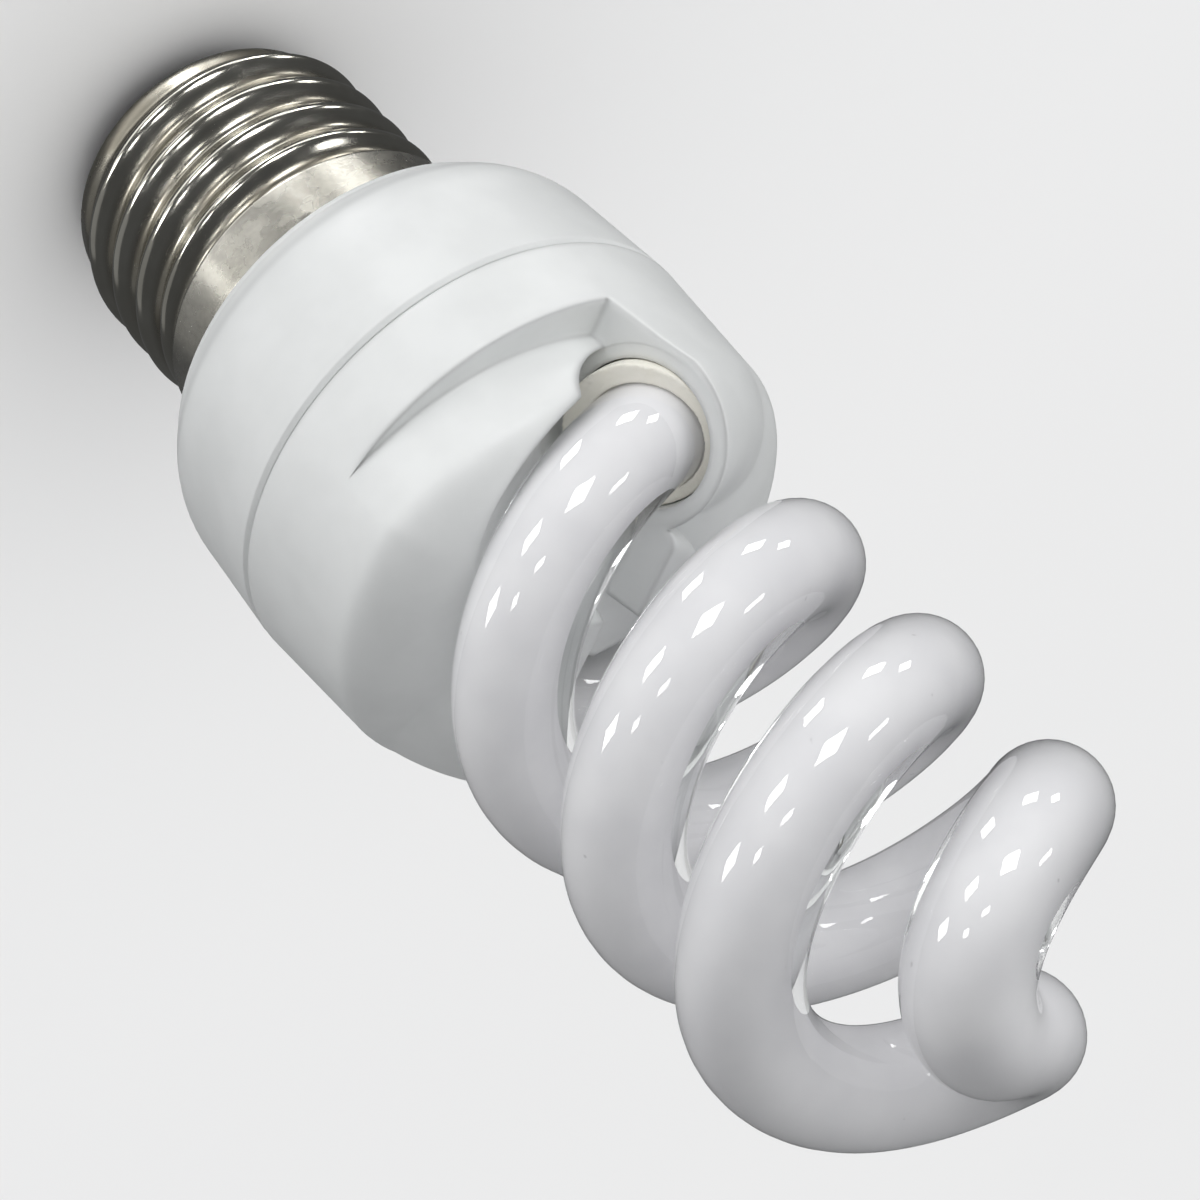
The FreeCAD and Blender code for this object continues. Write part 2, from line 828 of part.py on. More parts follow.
def choke():
    """Ferrite core with two windows, and the winding round its middle leg."""
    left = "Sizes.choke_x - Sizes.choke_width / 2"
    front = "Sizes.choke_y - Sizes.choke_depth / 2"
    bottom = "Sizes.board_level - Sizes.fit_gap - Sizes.choke_height"
    sill = bottom + " + Sizes.choke_yoke"
    opening = "Sizes.choke_height - 2 * Sizes.choke_yoke"
    window = "(Sizes.choke_width - 2 * Sizes.choke_limb - Sizes.choke_leg) / 2"
    block = box("choke_block", ("Sizes.choke_width", "Sizes.choke_depth", "Sizes.choke_height"),
                (left, front, bottom))
    first = box("choke_window_left", (window, "Sizes.choke_depth", opening),
                (left + " + Sizes.choke_limb", front, sill))
    second = box("choke_window_right", (window, "Sizes.choke_depth", opening),
                 ("Sizes.choke_x + Sizes.choke_leg / 2", front, sill))
    cut("choke_core", block, joined("choke_windows", [first, second]))
    wide = "Sizes.choke_leg + 2 * Sizes.winding_grow"
    deep = "Sizes.choke_depth + 2 * Sizes.winding_grow"
    coil_sill = sill + " + Sizes.winding_gap"
    coil_height = opening + " - 2 * Sizes.winding_gap"
    coil = box("choke_coil", (wide, deep, coil_height),
               ("Sizes.choke_x - (%s) / 2" % wide, "Sizes.choke_y - (%s) / 2" % deep, coil_sill))
    leg_wide = "Sizes.choke_leg + 2 * Sizes.winding_gap"
    leg_deep = "Sizes.choke_depth + 2 * Sizes.winding_gap"
    leg = box("choke_leg_space", (leg_wide, leg_deep, coil_height),
              ("Sizes.choke_x - (%s) / 2" % leg_wide, "Sizes.choke_y - (%s) / 2" % leg_deep, coil_sill))
    cut("choke_winding", coil, leg)


choke()


def drive_transformer():
    """Small ferrite ring with three windings spaced round it."""
    level = "Sizes.board_level - Sizes.fit_gap - Sizes.coil_grow - Sizes.ring_thick"
    centre = ("Sizes.ring_x", "Sizes.ring_y", level)
    outer = cylinder("ring_outside", "Sizes.ring_outer", "Sizes.ring_thick", centre)
    inner = cylinder("ring_inside", "Sizes.ring_inner", "Sizes.ring_thick", centre)
    cut("drive_ring", outer, inner)
    gap = "Sizes.fit_gap"
    count = int(size("coil_count"))
    for number in range(count):
        pieces = []
        for name, grow in (("coil", "Sizes.coil_grow"), ("hollow", gap)):
            shell = doc.addObject("Part::Cylinder", "drive_%s_%d" % (name, number + 1))
            bind(shell, "Radius", "Sizes.ring_outer + " + grow)
            bind(shell, "Height", "Sizes.ring_thick + 2 * " + grow)
            core = doc.addObject("Part::Cylinder", "drive_%s_core_%d" % (name, number + 1))
            bind(core, "Radius", "Sizes.ring_inner - " + grow)
            bind(core, "Height", "Sizes.ring_thick + 2 * " + grow)
            for piece in (shell, core):
                bind(piece, "Angle", "Sizes.coil_angle")
                place(piece, "Sizes.ring_x", "Sizes.ring_y", level + " - " + grow, 360 * number / count)
            pieces.append(cut("drive_%s_ring_%d" % (name, number + 1), shell, core))
        cut("drive_winding_%d" % (number + 1), pieces[0], pieces[1])


drive_transformer()


def transistor(number):
    """Half-round plastic body that hangs on three legs."""
    bearing = "Sizes.transistor_angle + %d * Sizes.transistor_step" % number
    across, along = polar("transistor_reach", bearing)
    turn = size("transistor_angle") + number * size("transistor_step")
    low = "Sizes.board_level - Sizes.transistor_lift - Sizes.transistor_height"
    body = doc.addObject("Part::Cylinder", "transistor_round_%d" % (number + 1))
    bind(body, "Radius", "Sizes.transistor_radius")
    bind(body, "Height", "Sizes.transistor_height")
    side = doc.addObject("Part::Box", "transistor_side_%d" % (number + 1))
    bind(side, "Length", "Sizes.transistor_radius")
    bind(side, "Width", "2 * Sizes.transistor_radius")
    bind(side, "Height", "Sizes.transistor_height")
    place(side, "Sizes.transistor_flat", "-Sizes.transistor_radius", "0")
    pieces = [cut("transistor_body_%d" % (number + 1), body, side)]
    for leg in (-1, 0, 1):
        bar = doc.addObject("Part::Box", "transistor_leg_%d" % (number + 1))
        bind(bar, "Length", "Sizes.leg_size")
        bind(bar, "Width", "Sizes.leg_size")
        bind(bar, "Height", "Sizes.transistor_lift - Sizes.fit_gap")
        place(bar, "-Sizes.leg_size / 2", "%d * Sizes.leg_pitch - Sizes.leg_size / 2" % leg,
              "Sizes.transistor_height")
        pieces.append(bar)
    whole = joined("transistor_%d" % (number + 1), pieces)
    place(whole, across, along, low, turn)


def film_capacitor(number):
    """Moulded block with rounded long edges, its length across the board's radius."""
    across, along = polar("film_reach", "Sizes.film_angle + %d * Sizes.film_step" % number)
    turn = size("film_angle") + number * size("film_step")
    block = doc.addObject("Part::Box", "film_block_%d" % (number + 1))
    bind(block, "Length", "Sizes.film_width")
    bind(block, "Width", "Sizes.film_length")
    bind(block, "Height", "Sizes.film_height")
    place(block, "-Sizes.film_width / 2", "-Sizes.film_length / 2", "0")
    doc.recompute()
    rounding = doc.addObject("Part::Fillet", "film_capacitor_%d" % (number + 1))
    rounding.Base = block
    rounded = size("film_edge")
    for index, edge in enumerate(block.Shape.Edges, start=1):
        if abs(edge.tangentAt(edge.FirstParameter).z) > 0.9:
            rounding.Edges = rounding.Edges + [(index, rounded, rounded)]
    place(rounding, across, along, "Sizes.board_level - Sizes.fit_gap - Sizes.film_height", turn)


for number in range(2):
    transistor(number)
    film_capacitor(number)

for number in range(4):
    diode = revolved(
        "rectifier_diode_%d" % (number + 1),
        [
            (None, None),
            ("lead_radius", None),
            ("lead_radius", "diode_lift"),
            ("diode_radius", "diode_lift"),
            ("diode_radius", "diode_bottom"),
            ("lead_radius", "diode_bottom"),
            ("lead_radius", "diode_end"),
            (None, "diode_end"),
        ],
    )
    across, along = polar("diode_reach", "Sizes.diode_angle + %d * Sizes.diode_step" % number)
    place(diode, across, along, "Sizes.board_level - Sizes.fit_gap", flipped=True)

fuse_resistor = revolved(
    "fuse_resistor",
    [
        (None, None),
        ("lead_radius", None),
        ("lead_radius", "fuse_lift"),
        ("fuse_radius", "fuse_lift"),
        ("fuse_radius", "fuse_band_end"),
        ("fuse_waist", "fuse_band_end"),
        ("fuse_waist", "fuse_band_start"),
        ("fuse_radius", "fuse_band_start"),
        ("fuse_radius", "fuse_bottom"),
        ("lead_radius", "fuse_bottom"),
        ("lead_radius", "fuse_end"),
        (None, "fuse_end"),
    ],
)
fuse_place = polar("fuse_reach", "Sizes.fuse_angle")
place(fuse_resistor, fuse_place[0], fuse_place[1], "Sizes.board_level - Sizes.fit_gap", flipped=True)


# Lamp pins on the board and the leads that come out of the tube's ends
def lamp_leads():
    turn = size("tube_start")
    end = tube_point(turn)
    way = (tube_point(turn) - tube_point(turn + 0.01)).normalize()
    angle = math.radians(270 + turn)
    outward = V(math.cos(angle), math.sin(angle), 0)
    pin_angle = math.radians(270 + turn - size("pin_lag"))
    pin_outward = V(math.cos(pin_angle), math.sin(pin_angle), 0)
    top = size("board_top") + size("fit_gap") + size("pin_height")
    gap = size("fit_gap")
    number = 0
    for half_turns in (0, 1):
        for side in (-1, 1):
            number += 1
            shift = side * size("pin_spread")
            foot = pin_outward * (size("spiral_radius") + shift)
            pin_foot = foot + UP * (top - size("pin_height"))
            pin = Part.makeCylinder(size("pin_radius"), size("pin_height"), pin_foot)
            start = end + outward * shift + way * (gap + size("lead_radius"))
            aim = foot + UP * (top - size("pin_radius")) - start
            length = aim.Length - size("lead_stop") - gap
            lead = Part.makeCylinder(size("lead_radius"), length, start, aim)
            for label, shape in (("lamp_pin", pin), ("electrode_lead", lead)):
                if half_turns:
                    shape = half_turned(shape)
                solid_node("%s_%d" % (label, number), shape)


lamp_leads()


def cap_wires():
    """Live wire down to the centre contact, and neutral wire out to the shell below the neck."""
    below = size("board_level") - size("fit_gap")
    radius = size("wire_radius")
    contact = size("contact_stem_top") + size("fit_gap")
    bend = below - size("wire_drop")
    live = [
        V(size("live_x"), size("live_y"), below),
        V(size("live_x"), size("live_y"), bend),
        V(size("live_rim_x"), size("live_rim_y"), size("rim_level")),
        V(size("live_cap_x"), size("live_cap_y"), size("live_cap_level")),
        V(0, 0, contact + size("live_foot")),
        V(0, 0, contact),
    ]
    solid_node("live_wire", wire_bar(live, radius))
    shell_side = size("shell_inside") - radius - 2 * size("fit_gap")
    neck = size("neck_bottom")
    neutral = [
        V(size("neutral_x"), size("neutral_y"), below),
        V(size("neutral_x"), size("neutral_y"), bend),
        V(size("neutral_rim_x"), size("neutral_rim_y"), size("rim_level")),
        V(size("neutral_neck_x"), size("neutral_neck_y"), neck - size("neutral_neck_drop")),
        V(-shell_side, 0, neck - size("neutral_foot")),
    ]
    solid_node("neutral_wire", wire_bar(neutral, radius))


cap_wires()


def check_and_write():
    os.makedirs("parts", exist_ok=True)
    doc.recompute()
    for obj in doc.Objects:
        bad = [state for state in obj.State if state in ("Invalid", "Error")]
        if bad:
            raise RuntimeError("%s is %s" % (obj.Label, bad))
    for obj in doc.RootObjects:
        if not hasattr(obj, "Shape"):
            continue
        shape = obj.Shape
        if shape.isNull() or not shape.isValid():
            raise RuntimeError("bad shape: " + obj.Label)
        shape.exportStep(os.path.join("parts", obj.Label + ".step"))
        print(obj.Label, shape.ShapeType, len(shape.Solids), round(shape.Volume, 1))


check_and_write()
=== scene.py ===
import json
import math

import bmesh
import bpy
from mathutils import Matrix, Vector


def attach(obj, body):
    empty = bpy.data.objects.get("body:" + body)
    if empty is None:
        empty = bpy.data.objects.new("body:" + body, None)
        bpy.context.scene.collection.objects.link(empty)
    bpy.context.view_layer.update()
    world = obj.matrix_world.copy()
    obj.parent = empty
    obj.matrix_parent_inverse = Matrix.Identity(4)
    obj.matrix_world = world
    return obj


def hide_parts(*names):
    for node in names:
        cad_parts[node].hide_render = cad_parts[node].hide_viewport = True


# Spiral energy saving lamp: the looks of its glass, plastic, metal and cement.
# It stands on its cap, its axis is Z, and its frame is in metres.

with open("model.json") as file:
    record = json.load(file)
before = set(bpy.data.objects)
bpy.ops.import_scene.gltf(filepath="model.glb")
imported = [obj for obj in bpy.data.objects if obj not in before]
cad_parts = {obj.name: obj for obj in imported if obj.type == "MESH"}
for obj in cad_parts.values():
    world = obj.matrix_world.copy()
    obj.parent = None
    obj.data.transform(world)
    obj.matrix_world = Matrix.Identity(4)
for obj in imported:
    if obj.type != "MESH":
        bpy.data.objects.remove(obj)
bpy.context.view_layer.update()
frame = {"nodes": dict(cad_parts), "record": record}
MM = 0.001
BODY = "root"

# Sizes are in mm, turns in degrees

# The tube's path: each strand winds from its start to the spiral's end, then on to the bridge's middle
SPIRAL = {
    "Spiral radius": 11.6,
    "Lead": 23.6,
    "First band level": 58.3,
    "Spiral end": 443.0,
    "Bridge end": 566.0,
    "Bridge power": 3.29,
    "Bridge rise": 10.2,
    "Bridge flat": 0.8,
    "Dive start": 120.0,
    "Dive rate": 0.00007,
    "Tube start": -94.0,
}
GLASS_RADIUS = 3.98
# The white core lies outward in the glass, which leaves a clear strip along the inner edge of each turn
COATING_RADIUS = 2.75
COATING_SHIFT = 1.0
TUBE_RINGS = 700
TUBE_SIDES = 40

# Room for the tube in front of its exits, cut out of the cover; it lies lower than the tube by the drop
EXIT_ROOM_RADIUS = 3.9
EXIT_ROOM_DROP = 0.55
EXIT_ROOM_GROWTH = 1.05
EXIT_ROOM_RINGS = 260
EXIT_ROOM_SIDES = 48
MOUTH = {
    "Mouth back": -49.0,
    "Mouth start": -40.0,
    "Mouth end": 25.0,
}

# The cement stands out of the front exit this way along the tube, and this far
CEMENT_WAY = Vector((0.55, -0.73, 0.405))
CEMENT_CREEP = 0.45
# It leans out on its high side, by so many mm for each mm from its middle
CEMENT_HIGH_SIDE = Vector((0.04, -0.508, -0.86))
CEMENT_LEAN = 0.24
CEMENT_GRID = 0.14
CEMENT_ROUNDS = 3
CEMENT_SOFTNESS = 0.5

# The cap's rolled thread, crimps and shell
THREAD = {
    "Pitch": 3.629,
    "Depth": 0.95,
    "Front crest": 17.2,
    "First crest": 4.9,
    "Last crest": 17.9,
    "Run out": 1.1,
}
CRIMPS = {
    "Count": 12.0,
    "Level": 24.3,
    "Width": 0.42,
    "Dent": 0.22,
    "Turn": 228.0,
}
SHELL_ROOT = 12.15
SHELL_END = 11.5
SHELL_FOOT = 2.7
SHELL_FOOT_HEIGHT = 1.7
SHELL_WALL = 0.4
SKIRT_RADIUS = 13.15
SKIRT_LEVEL = 19.6
SKIRT_FLARE = 0.9
RIM_LEVEL = 26.65
SHELL_SIDES = 320
SHELL_STEP = 0.16
SHELL_INNER_STEP = 0.8
SHELL_FOOT_STEPS = 10
# How far out from the thread's root the plate turns darker
THREAD_ROOT_DARK_REACH = 0.55

# Plastic edges sharper than this stay sharp, and points of a solid closer than this are one
CORNER = math.radians(32.0)
MERGE_DISTANCE = 0.002
EDGE_SAMPLES = 8


# Node trees written as sums
class Wire:
    """A node's output that takes part in sums; each sum adds one Math node to its tree."""

    def __init__(self, tree, socket):
        self.tree = tree
        self.socket = socket

    def sum(self, operation, *terms):
        node = self.tree.nodes.new("ShaderNodeMath")
        node.operation = operation
        for slot, term in zip(node.inputs, terms):
            feed(self.tree, slot, term)
        return Wire(self.tree, node.outputs[0])

    def __add__(self, other):
        return self.sum("ADD", self, other)

    def __sub__(self, other):
        return self.sum("SUBTRACT", self, other)

    def __mul__(self, other):
        return self.sum("MULTIPLY", self, other)

    def __truediv__(self, other):
        return self.sum("DIVIDE", self, other)

    def __pow__(self, other):
        return self.sum("POWER", self, other)

    def __radd__(self, other):
        return self.sum("ADD", other, self)

    def __rsub__(self, other):
        return self.sum("SUBTRACT", other, self)

    def __rmul__(self, other):
        return self.sum("MULTIPLY", other, self)

    def least(self, other):
        return self.sum("MINIMUM", self, other)

    def most(self, other):
        return self.sum("MAXIMUM", self, other)

    def above(self, other):
        return self.sum("GREATER_THAN", self, other)

    def size(self):
        return self.sum("ABSOLUTE", self)

    def cos(self):
        return self.sum("COSINE", self)

    def sin(self):
        return self.sum("SINE", self)

    def exp(self):
        return self.sum("EXPONENT", self)

    def nearest_whole(self):
        return self.sum("ROUND", self)

    def root(self):
        return self.sum("SQRT", self)

    def angle_to(self, other):
        return self.sum("ARCTAN2", self, other)

    def within(self, low, high):
        return self.most(low).least(high)

    def smooth(self, low, high):
        """Runs from 0 at low to 1 at high without a corner."""
        share = ((self - low) / (high - low)).within(0.0, 1.0)
        return share * share * (3.0 - 2.0 * share)


def feed(tree, slot, value):
    """Links a wire or socket to the slot, or sets a plain value on it."""
    if isinstance(value, Wire):
        tree.links.new(value.socket, slot)
    elif isinstance(value, bpy.types.NodeSocket):
        tree.links.new(value, slot)
    else:
        slot.default_value = value


def add_node(tree, kind, inputs=None, **settings):
    """New node with the given inputs and settings."""
    node = tree.nodes.new(kind)
    for name, value in settings.items():
        setattr(node, name, value)
    for name, value in (inputs or {}).items():
        feed(tree, node.inputs[name], value)
    return node


# Geometry node trees
def new_geometry_tree(name, sizes):
    """Tree with the given named sizes and a finish as its inputs."""
    tree = bpy.data.node_groups.new(name, "GeometryNodeTree")
    tree.is_modifier = True
    tree.interface.new_socket("Geometry", in_out="OUTPUT", socket_type="NodeSocketGeometry")
    tree.interface.new_socket("Geometry", in_out="INPUT", socket_type="NodeSocketGeometry")
    for size in sizes:
        tree.interface.new_socket(size, in_out="INPUT", socket_type="NodeSocketFloat")
    tree.interface.new_socket("Finish", in_out="INPUT", socket_type="NodeSocketMaterial")
    entry = tree.nodes.new("NodeGroupInput")
    wires = {socket.name: Wire(tree, socket) for socket in entry.outputs if socket.name}
    return tree, entry, wires


def end_geometry_tree(tree, entry, geometry):
    """Ends the tree with real, smooth geometry in the finish."""
    real = add_node(tree, "GeometryNodeRealizeInstances", {"Geometry": geometry})
    smooth = add_node(tree, "GeometryNodeSetShadeSmooth", {"Geometry": real.outputs[0]})
    finish = add_node(tree, "GeometryNodeSetMaterial", {"Geometry": smooth.outputs[0]})
    tree.links.new(entry.outputs["Finish"], finish.inputs["Material"])
    leave = tree.nodes.new("NodeGroupOutput")
    tree.links.new(finish.outputs[0], leave.inputs[0])


def grown(name, tree, sizes, finish, start=None):
    """Plain mesh object that the tree makes from a start mesh with the given sizes."""
    base = bpy.data.objects.new(name + "_start", start or bpy.data.meshes.new(name + "_start"))
    bpy.context.scene.collection.objects.link(base)
    modifier = base.modifiers.new(name, "NODES")
    modifier.node_group = tree
    for item in tree.interface.items_tree:
        if item.in_out == "INPUT" and item.name in sizes:
            modifier[item.identifier] = sizes[item.name]
        if item.in_out == "INPUT" and item.name == "Finish":
            modifier[item.identifier] = finish
    depsgraph = bpy.context.evaluated_depsgraph_get()
    mesh = bpy.data.meshes.new_from_object(base.evaluated_get(depsgraph))
    bpy.data.objects.remove(base)
    mesh.name = name
    return show(name, mesh, finish)


def show(name, mesh, finish):
    """Object in the scene with one finish."""
    piece = bpy.data.objects.new(name, mesh)
    bpy.context.scene.collection.objects.link(piece)
    mesh.materials.clear()
    mesh.materials.append(finish)
    return piece


def spiral_tree(name, ring_count, side_count):
    """A round bar along two strands that wind half a turn apart and meet in an S on the axis.

    In front of each exit it is thicker by the mouth's growth, which fades out up the strand.
    """
    sizes = [*SPIRAL, *MOUTH, "Bar radius", "Mouth growth", "Shift outward"]
    tree, entry, size = new_geometry_tree(name, sizes)
    line = add_node(tree, "GeometryNodeCurvePrimitiveLine")
    rings = add_node(tree, "GeometryNodeResampleCurve", {"Curve": line.outputs[0], "Count": ring_count})
    along = Wire(tree, add_node(tree, "GeometryNodeInputIndex").outputs[0]) / (ring_count - 1.0)
    whole = size["Tube start"] + along * 2.0 * (size["Bridge end"] - size["Tube start"])
    turn = size["Bridge end"] - (whole - size["Bridge end"]).size()
    side = 1.0 - 2.0 * whole.above(size["Bridge end"])
    share = ((turn - size["Spiral end"]) / (size["Bridge end"] - size["Spiral end"])).within(0.0, 1.0)
    reach = (size["Spiral radius"] + size["Shift outward"]) * (1.0 - share ** size["Bridge power"])
    eased = (share - size["Bridge flat"]).most(0.0) ** 2.0 / (2.0 * (1.0 - size["Bridge flat"]))
    level = size["First band level"] + size["Lead"] / 360.0 * turn.least(size["Spiral end"])
    level = level + size["Bridge rise"] * (share - eased)
    level = level - size["Dive rate"] * (size["Dive start"] - turn).most(0.0) ** 2.0
    angle = (turn + 270.0) * math.radians(1.0)
    place = add_node(
        tree,
        "ShaderNodeCombineXYZ",
        {
            "X": reach * angle.cos() * side * MM,
            "Y": reach * angle.sin() * side * MM,
            "Z": level * MM,
        },
    )
    path = add_node(
        tree, "GeometryNodeSetPosition", {"Geometry": rings.outputs[0], "Position": place.outputs[0]}
    )
    section = add_node(
        tree,
        "GeometryNodeCurvePrimitiveCircle",
        {"Resolution": side_count, "Radius": MM},
    )
    fade = 1.0 - turn.smooth(size["Mouth start"], size["Mouth end"])
    thick = size["Bar radius"] + size["Mouth growth"] * (turn.above(size["Mouth back"]) * fade)
    skin = add_node(
        tree,
        "GeometryNodeCurveToMesh",
        {
            "Curve": path.outputs[0],
            "Profile Curve": section.outputs[0],
            "Scale": thick,
            "Fill Caps": True,
        },
    )
    end_geometry_tree(tree, entry, skin.outputs[0])
    return tree


def rolled_thread_tree():
    """Presses a round thread and a ring of crimps into a turned shell."""
    tree, entry, size = new_geometry_tree("rolled_thread", [*THREAD, *CRIMPS])
    spot = add_node(tree, "GeometryNodeInputPosition")
    parts = add_node(tree, "ShaderNodeSeparateXYZ", {"Vector": spot.outputs[0]})
    across = Wire(tree, parts.outputs["X"])
    back = Wire(tree, parts.outputs["Y"])
    level = Wire(tree, parts.outputs["Z"]) / MM
    degrees = back.angle_to(across) / math.radians(1.0)
    wave = (level - size["Front crest"]) / size["Pitch"] - (degrees + 90.0) / 360.0
    ridge = (wave * (2.0 * math.pi)).cos() * 0.5 + 0.5
    rising = level.smooth(size["First crest"] - size["Run out"], size["First crest"] + size["Run out"])
    falling = level.smooth(size["Last crest"] - size["Run out"], size["Last crest"] + size["Run out"])
    swell = ridge * size["Depth"] * rising * (1.0 - falling)
    share = (degrees - size["Turn"]) * size["Count"] / 360.0
    beside = share - share.nearest_whole()
    sideways = beside * (2.0 * math.pi * SKIRT_RADIUS) / size["Count"] / size["Width"]
    upward = (level - size["Level"]) / size["Width"]
    dent = ((sideways * sideways + upward * upward) * -1.0).exp() * size["Dent"]
    grow = (swell - dent) * MM
    flat = add_node(tree, "ShaderNodeCombineXYZ", {"X": across, "Y": back})
    outward = add_node(tree, "ShaderNodeVectorMath", {0: flat.outputs[0]}, operation="NORMALIZE")
    shift = add_node(tree, "ShaderNodeVectorMath", {0: outward.outputs[0]}, operation="SCALE")
    feed(tree, shift.inputs["Scale"], grow)
    rolled = add_node(
        tree,
        "GeometryNodeSetPosition",
        {"Geometry": entry.outputs["Geometry"], "Offset": shift.outputs[0]},
    )
    end_geometry_tree(tree, entry, rolled.outputs[0])
    return tree


# Plain meshes
def turned(name, outline, around):
    """Closed ring of quads from an outline of (radius, level) in mm, turned about the lamp's axis."""
    mesh = bpy.data.meshes.new(name)
    build = bmesh.new()
    rings = []
    for radius, level in outline:
        ring = []
        for step in range(around):
            angle = 2 * math.pi * step / around
            outward = Vector((math.cos(angle), math.sin(angle), 0))
            ring.append(build.verts.new(outward * radius * MM + Vector((0, 0, level * MM))))
        rings.append(ring)
    for low, high in zip(rings, rings[1:] + rings[:1]):
        for step in range(around):
            after = (step + 1) % around
            build.faces.new((low[step], low[after], high[after], high[step]))
    bmesh.ops.recalc_face_normals(build, faces=build.faces)
    build.to_mesh(mesh)
    build.free()
    return mesh


def spread(start, end, step):
    """Points from start to end, end left out, no farther apart than the step."""
    count = max(1, math.ceil(math.dist(start, end) / step))
    points = []
    for i in range(count):
        points.append(tuple(a + (b - a) * i / count for a, b in zip(start, end)))
    return points


def shell_outline():
    """Section of the cap's shell before its thread is rolled.

    It runs up the foot, wall, flare and skirt outside, and down again inside.
    """
    foot_top = SHELL_FOOT + SHELL_FOOT_HEIGHT
    outline = []
    for i in range(SHELL_FOOT_STEPS):
        bend = math.pi / 2 * i / SHELL_FOOT_STEPS
        radius = SHELL_END + (SHELL_ROOT - SHELL_END) * math.sin(bend)
        level = foot_top - SHELL_FOOT_HEIGHT * math.cos(bend)
        outline.append((radius, level))
    flare_start = SKIRT_LEVEL - SKIRT_FLARE
    outline += spread((SHELL_ROOT, foot_top), (SHELL_ROOT, flare_start), SHELL_STEP)
    outline += spread((SHELL_ROOT, flare_start), (SKIRT_RADIUS, SKIRT_LEVEL), SHELL_STEP)
    outline += spread((SKIRT_RADIUS, SKIRT_LEVEL), (SKIRT_RADIUS, RIM_LEVEL), SHELL_STEP)
    inner_root = SHELL_ROOT - SHELL_WALL
    inner_skirt = SKIRT_RADIUS - SHELL_WALL
    inner_end = SHELL_END - SHELL_WALL
    outline += spread((SKIRT_RADIUS, RIM_LEVEL), (inner_skirt, RIM_LEVEL), SHELL_WALL)
    outline += spread((inner_skirt, RIM_LEVEL), (inner_skirt, SKIRT_LEVEL), SHELL_INNER_STEP)
    outline += spread((inner_skirt, SKIRT_LEVEL), (inner_root, flare_start), SHELL_INNER_STEP)
    outline += spread((inner_root, flare_start), (inner_root, foot_top), SHELL_INNER_STEP)
    outline += spread((inner_root, foot_top), (inner_end, SHELL_FOOT), SHELL_INNER_STEP)
    outline += spread((inner_end, SHELL_FOOT), (SHELL_END, SHELL_FOOT), SHELL_WALL)
    return outline


def merged_build(node):
    """The node's solid with its loose faces joined, to be worked on."""
    build = bmesh.new()
    build.from_mesh(frame["nodes"][node].data)
    bmesh.ops.remove_doubles(build, verts=build.verts, dist=MERGE_DISTANCE * MM)
    return build


def softened_copy(node, name, finish, way, high_side):
    """The node's solid with soft edges, moved out along the way and leaning out on its high side."""
    build = merged_build(node)
    middle = sum((vert.co for vert in build.verts), Vector()) / len(build.verts)
    for vert in build.verts:
        lean = (vert.co - middle).dot(high_side) * CEMENT_LEAN
        vert.co += way * (CEMENT_CREEP * MM + lean)
    mesh = bpy.data.meshes.new(name)
    build.to_mesh(mesh)
    build.free()
    piece = show(name, mesh, finish)
    fine = piece.modifiers.new("Fine grid", "REMESH")
    fine.mode = "VOXEL"
    fine.voxel_size = CEMENT_GRID * MM
    soft = piece.modifiers.new("Soft edges", "SMOOTH")
    soft.factor = CEMENT_SOFTNESS
    soft.iterations = CEMENT_ROUNDS
    made_plain(piece)
    for face in piece.data.polygons:
        face.use_smooth = True
    return piece


def smooth_copy(node, name, finish, cutter=None):
    """The node's solid, cut if there is a cutter, and shaded smooth up to its corners."""
    build = merged_build(node)
    mesh = bpy.data.meshes.new(name)
    build.to_mesh(mesh)
    build.free()
    piece = show(name, mesh, finish)
    if cutter:
        cut = piece.modifiers.new("Cut", "BOOLEAN")
        cut.operation = "DIFFERENCE"
        cut.solver = "EXACT"
        cut.object = cutter
        made_plain(piece)
    build = bmesh.new()
    build.from_mesh(piece.data)
    for edge in build.edges:
        edge.smooth = edge.calc_face_angle(0.0) < CORNER
    for face in build.faces:
        face.smooth = True
    build.to_mesh(piece.data)
    build.free()
    return piece


def made_plain(piece):
    """Applies the piece's modifiers."""
    depsgraph = bpy.context.evaluated_depsgraph_get()
    mesh = bpy.data.meshes.new_from_object(piece.evaluated_get(depsgraph))
    old = piece.data
    mesh.name = old.name
    piece.modifiers.clear()
    piece.data = mesh
    bpy.data.meshes.remove(old)


# Finishes
def new_finish(name):
    """Material with its tree, its shader and the place on the piece that its patterns follow."""
    finish = bpy.data.materials.new(name)
    finish.use_nodes = True
    tree = finish.node_tree
    shader = tree.nodes["Principled BSDF"]
    place = tree.nodes.new("ShaderNodeTexCoord").outputs["Object"]
    return finish, tree, shader, place


def noise(tree, place, grain, detail=3.0, stretch=(1, 1, 1)):
    """Noise whose grains are about that many mm wide."""
    scale = tuple(s / (grain * MM) for s in stretch)
    mapping = add_node(tree, "ShaderNodeMapping", {"Vector": place, "Scale": scale})
    texture = add_node(
        tree, "ShaderNodeTexNoise", {"Vector": mapping.outputs[0], "Scale": 1.0, "Detail": detail}
    )
    return Wire(tree, texture.outputs["Fac"])


def blend(tree, share, first, second):
    """Colour between first and second by the share."""
    mix = tree.nodes.new("ShaderNodeMix")
    mix.data_type = "RGBA"
    feed(tree, mix.inputs[0], share)
    for slot, colour in ((mix.inputs[6], first), (mix.inputs[7], second)):
        feed(tree, slot, (*colour, 1.0) if isinstance(colour, tuple) else colour)
    return mix.outputs[2]


